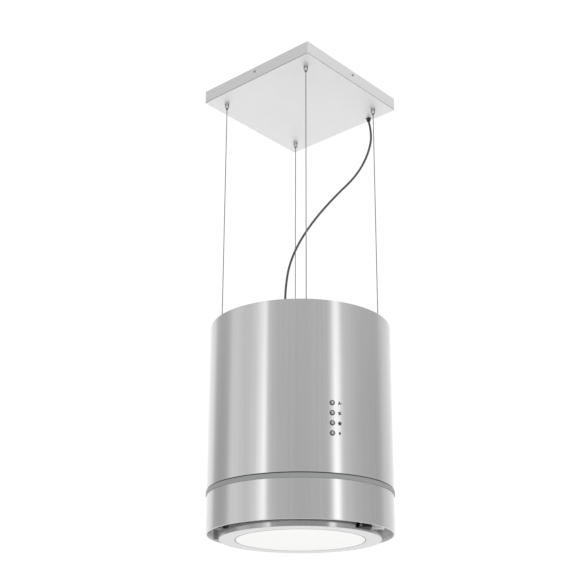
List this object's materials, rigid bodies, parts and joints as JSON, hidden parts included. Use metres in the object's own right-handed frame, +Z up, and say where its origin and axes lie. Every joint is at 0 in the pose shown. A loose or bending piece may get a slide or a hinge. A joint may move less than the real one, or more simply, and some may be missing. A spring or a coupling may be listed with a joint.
{
  "type": "island range hood",
  "caption": "Round stainless island range hood on suspension wires below a square ceiling canopy, with push buttons, light ring, hinged perimeter panel, filters and a scroll blower.",
  "frame": {"origin": "centre of the four ceiling screws, on the ceiling plane", "axes": "+Z up into the ceiling, +X and +Y square to the canopy's sides; the push buttons face between -X and -Y"},
  "size_m": [0.3829, 0.383, 1.02],
  "materials": {
    "satin_steel": "satin, pale",
    "brushed_shell": "upright brushed grain",
    "polished_steel": "polished",
    "zinc_sheet": "zinc plated sheet",
    "screw_steel": "plain",
    "wire_steel": "stranded",
    "cable_sheath": "dark grey flexible sheath",
    "black_rubber": "matt",
    "black_plastic": "fine grain",
    "frosted_acrylic": "frosted",
    "opal_acrylic": "opal, lit from behind",
    "white_face": "satin white",
    "aluminium_filter": "woven layers",
    "charcoal": "granular",
    "motor_metal": "cast and turned",
    "grey_plastic": "moulded",
    "circuit_board": "lacquered board",
    "white_board": "white lacquered board"
  },
  "bodies": {
    "canopy": {"canopy_cover": "satin_steel", "ceiling_bracket": "zinc_sheet", "cover_screws": "screw_steel", "grip_barrels": "polished_steel", "grip_nuts": "screw_steel", "gripping_jaws": "screw_steel", "canopy_grommet": "black_rubber", "terminal_block": "grey_plastic", "supply_cable": "cable_sheath", "suspension_wires": "wire_steel"},
    "rotor": {"motor_shaft": "screw_steel", "impeller": "motor_metal"},
    "cassette_left_unit": {"cassette_left": "black_plastic", "charcoal_left": "charcoal"},
    "cassette_right_unit": {"cassette_right": "black_plastic", "charcoal_right": "charcoal"},
    "panel": {"panel_pan": "polished_steel", "hinge_leaves": "zinc_sheet", "strike_plates": "zinc_sheet", "face_ring": "white_face", "panel_support_ring": "white_board", "light_diffuser": "opal_acrylic", "led_board": "white_board"},
    "latch": {"filter_latch": "black_plastic"},
    "plunger_1": {"release_plunger_1": "polished_steel"},
    "push_button_1": {"button_1": "polished_steel"},
    "plunger_2": {"release_plunger_2": "polished_steel"},
    "push_button_2": {"button_2": "polished_steel"},
    "plunger_3": {"release_plunger_3": "polished_steel"},
    "push_button_3": {"button_3": "polished_steel"},
    "plunger_4": {"release_plunger_4": "polished_steel"},
    "push_button_4": {"button_4": "polished_steel"},
    "hood": {"upper_shell": "brushed_shell", "shadow_gasket": "black_rubber", "light_ring": "frosted_acrylic", "lower_skirt": "brushed_shell", "joining_band": "zinc_sheet", "ring_led_strip": "white_board", "deck_plate": "zinc_sheet", "shell_brackets": "zinc_sheet", "deck_screws": "screw_steel", "wire_anchors": "polished_steel", "anchor_nuts": "screw_steel", "cable_gland": "black_plastic", "outlet_grille": "black_plastic", "blower_housing_left": "grey_plastic", "blower_housing_right": "grey_plastic", "blower_motor": "motor_metal", "motor_spider": "zinc_sheet", "button_bezels": "black_plastic", "control_board": "circuit_board", "board_cover": "grey_plastic", "led_driver": "black_plastic", "filter_deck": "zinc_sheet", "filter_frame": "aluminium_filter", "filter_mesh": "aluminium_filter", "hinge_lugs": "zinc_sheet", "hinge_pins": "screw_steel", "catch_plates": "zinc_sheet", "catch_magnets": "black_plastic"}
  },
  "joints": [
    {"name": "height_setting", "type": "slide", "parent": "canopy", "child": "hood", "axis": [0, 0, 1], "range_m": [-0.3, 0.2], "deforming": ["suspension_wires", "supply_cable"]},
    {"name": "blower_spin", "type": "hinge", "parent": "hood", "child": "rotor", "pos_m": [0, 0.018, -0.75], "axis": [1, 0, 0], "continuous": true},
    {"name": "cassette_left_twist", "type": "hinge", "parent": "hood", "child": "cassette_left_unit", "pos_m": [-0.068, 0.018, -0.75], "axis": [-1, 0, 0], "range_deg": [0, 25]},
    {"name": "cassette_right_twist", "type": "hinge", "parent": "hood", "child": "cassette_right_unit", "pos_m": [0.068, 0.018, -0.75], "axis": [1, 0, 0], "range_deg": [0, 25]},
    {"name": "panel_tilt", "type": "hinge", "parent": "hood", "child": "panel", "pos_m": [-0.11455, 0.11455, -1.005], "axis": [0.7071, 0.7071, 0], "range_deg": [0, 80]},
    {"name": "latch_slide", "type": "slide", "parent": "hood", "child": "latch", "axis": [-0.7071, 0.7071, 0], "range_m": [0, 0.006], "stiffness_N_per_m": 300},
    {"name": "grip_release_1", "type": "slide", "parent": "canopy", "child": "plunger_1", "axis": [0, 0, 1], "range_m": [0, 0.002], "stiffness_N_per_m": 300},
    {"name": "grip_release_2", "type": "slide", "parent": "canopy", "child": "plunger_2", "axis": [0, 0, 1], "range_m": [0, 0.002], "stiffness_N_per_m": 300},
    {"name": "grip_release_3", "type": "slide", "parent": "canopy", "child": "plunger_3", "axis": [0, 0, 1], "range_m": [0, 0.002], "stiffness_N_per_m": 300},
    {"name": "grip_release_4", "type": "slide", "parent": "canopy", "child": "plunger_4", "axis": [0, 0, 1], "range_m": [0, 0.002], "stiffness_N_per_m": 300},
    {"name": "button_press_1", "type": "slide", "parent": "hood", "child": "push_button_1", "axis": [0.503, 0.8643, 0], "range_m": [0, 0.0015], "stiffness_N_per_m": 400},
    {"name": "button_press_2", "type": "slide", "parent": "hood", "child": "push_button_2", "axis": [0.503, 0.8643, 0], "range_m": [0, 0.0015], "stiffness_N_per_m": 400},
    {"name": "button_press_3", "type": "slide", "parent": "hood", "child": "push_button_3", "axis": [0.503, 0.8643, 0], "range_m": [0, 0.0015], "stiffness_N_per_m": 400},
    {"name": "button_press_4", "type": "slide", "parent": "hood", "child": "push_button_4", "axis": [0.503, 0.8643, 0], "range_m": [0, 0.0015], "stiffness_N_per_m": 400}
  ]
}
